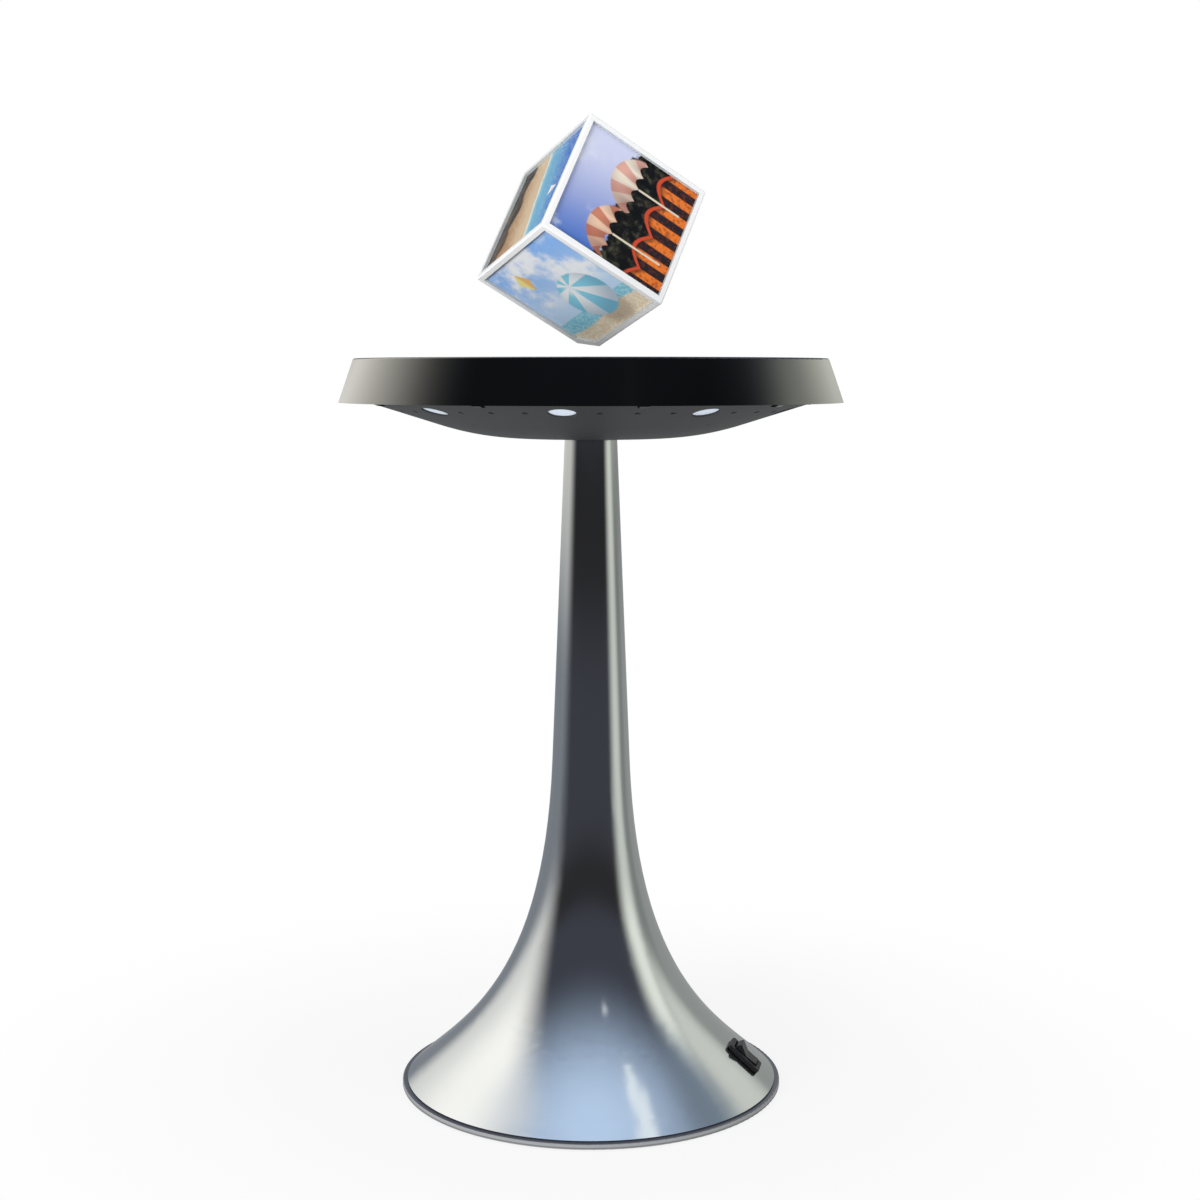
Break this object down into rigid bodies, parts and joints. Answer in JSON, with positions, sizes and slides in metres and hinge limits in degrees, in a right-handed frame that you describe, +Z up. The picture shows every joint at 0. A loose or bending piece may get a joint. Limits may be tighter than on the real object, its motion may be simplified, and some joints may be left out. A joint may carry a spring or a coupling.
{
  "type": "rotating photo cube",
  "caption": "Photo cube that floats and turns above a black disc with a ring of small lamps underneath, on a slender trumpet-shaped metal stand.",
  "frame": {"origin": "centre of the stand's underside, at floor level", "axes": "+Z up along the stand's axis, -Y toward the viewer, +X to the viewer's right"},
  "size_m": [0.193, 0.193, 0.376],
  "materials": {
    "spun_aluminium": "satin spun, faint lathe lines",
    "black_rubber": "matte",
    "ballast_iron": "as cast, painted",
    "plated_steel": "zinc plated",
    "natural_nylon": "moulded",
    "black_nylon": "moulded, fine grain",
    "black_rocker": "moulded, glossy",
    "contact_brass": "bright",
    "grey_dish": "satin painted",
    "black_disc": "polished",
    "lamp_lens": "frosted, lit",
    "circuit_board": "solder mask",
    "lamp_package": "moulded with a yellow dome",
    "sensor_package": "moulded",
    "chassis_plastic": "moulded",
    "ferrite": "ground ferrite",
    "copper_winding": "enamelled copper wire",
    "magnet_nickel": "nickel plated",
    "cube_frame_white": "moulded, glossy",
    "cup_plastic": "moulded",
    "clear_window": "clear polished acrylic",
    "photo_print_1": "glossy colour print of a made-up scene",
    "photo_print_2": "glossy colour print of a made-up scene",
    "photo_print_3": "glossy colour print of a made-up scene",
    "photo_print_4": "glossy colour print of a made-up scene",
    "photo_print_5": "glossy colour print of a made-up scene",
    "photo_print_6": "glossy colour print of a made-up scene"
  },
  "bodies": {
    "stand": {"trumpet_shell": "spun_aluminium", "base_plate": "spun_aluminium", "foot_ring": "black_rubber", "rim_gasket": "black_rubber", "ballast": "ballast_iron", "base_screws": "plated_steel", "tie_tube": "plated_steel", "lower_nut": "plated_steel", "lower_washer": "plated_steel", "upper_nut": "plated_steel", "upper_washer": "plated_steel", "switch_pin": "plated_steel", "inlet_pin": "plated_steel", "inlet_nut": "plated_steel", "chassis_screws": "plated_steel", "coil_cores": "plated_steel", "neck_bush": "natural_nylon", "switch_housing": "black_nylon", "power_inlet": "black_nylon", "switch_terminals": "contact_brass", "dish": "grey_dish", "disc_cover": "black_disc", "lamp_lens_1": "lamp_lens", "lamp_lens_2": "lamp_lens", "lamp_lens_3": "lamp_lens", "lamp_lens_4": "lamp_lens", "lamp_lens_5": "lamp_lens", "lamp_lens_6": "lamp_lens", "lamp_lens_7": "lamp_lens", "lamp_lens_8": "lamp_lens", "lamp_lens_9": "lamp_lens", "lamp_board": "circuit_board", "control_board": "circuit_board", "sensor_board": "circuit_board", "lamp_chips": "lamp_package", "field_sensors": "sensor_package", "levitation_chassis": "chassis_plastic", "ring_magnet": "ferrite", "coil_1": "copper_winding", "coil_2": "copper_winding", "coil_3": "copper_winding", "coil_4": "copper_winding"},
    "float_magnet": {"float_magnet": "magnet_nickel"},
    "cube": {"cube_frame_lower": "cube_frame_white", "cube_frame_upper": "cube_frame_white", "magnet_cup": "cup_plastic", "magnet_cap": "cup_plastic", "photo_1": "photo_print_1", "photo_2": "photo_print_2", "photo_3": "photo_print_3", "photo_4": "photo_print_4", "photo_5": "photo_print_5", "photo_6": "photo_print_6"},
    "switch_rocker": {"switch_rocker": "black_rocker"},
    "window_1": {"window_1": "clear_window"},
    "window_2": {"window_2": "clear_window"},
    "window_3": {"window_3": "clear_window"},
    "window_4": {"window_4": "clear_window"},
    "window_5": {"window_5": "clear_window"},
    "window_6": {"window_6": "clear_window"}
  },
  "joints": [
    {"name": "cube_lift", "type": "slide", "parent": "stand", "child": "float_magnet", "axis": [0, 0, 1], "range_m": [0, 0.09]},
    {"name": "cube_spin", "type": "hinge", "parent": "float_magnet", "child": "cube", "pos_m": [0, 0, 0.31337], "axis": [0, 0, 1], "continuous": true},
    {"name": "power_rocker", "type": "hinge", "parent": "stand", "child": "switch_rocker", "pos_m": [0.06032, -0.01282, 0.01373], "axis": [-0.2079, -0.9781, 0], "range_deg": [0, 22]},
    {"name": "window_1_release", "type": "slide", "parent": "cube", "child": "window_1", "axis": [-0.3256, -0.5089, -0.7969], "range_m": [0, 0.005]},
    {"name": "window_2_release", "type": "slide", "parent": "cube", "child": "window_2", "axis": [0.8112, 0.2825, -0.5119], "range_m": [0, 0.005]},
    {"name": "window_3_release", "type": "slide", "parent": "cube", "child": "window_3", "axis": [-0.4857, 0.8131, -0.3209], "range_m": [0, 0.005]},
    {"name": "window_4_release", "type": "slide", "parent": "cube", "child": "window_4", "axis": [0.3256, 0.5089, 0.7969], "range_m": [0, 0.005]},
    {"name": "window_5_release", "type": "slide", "parent": "cube", "child": "window_5", "axis": [-0.8112, -0.2825, 0.5119], "range_m": [0, 0.005]},
    {"name": "window_6_release", "type": "slide", "parent": "cube", "child": "window_6", "axis": [0.4857, -0.8131, 0.3209], "range_m": [0, 0.005]}
  ]
}
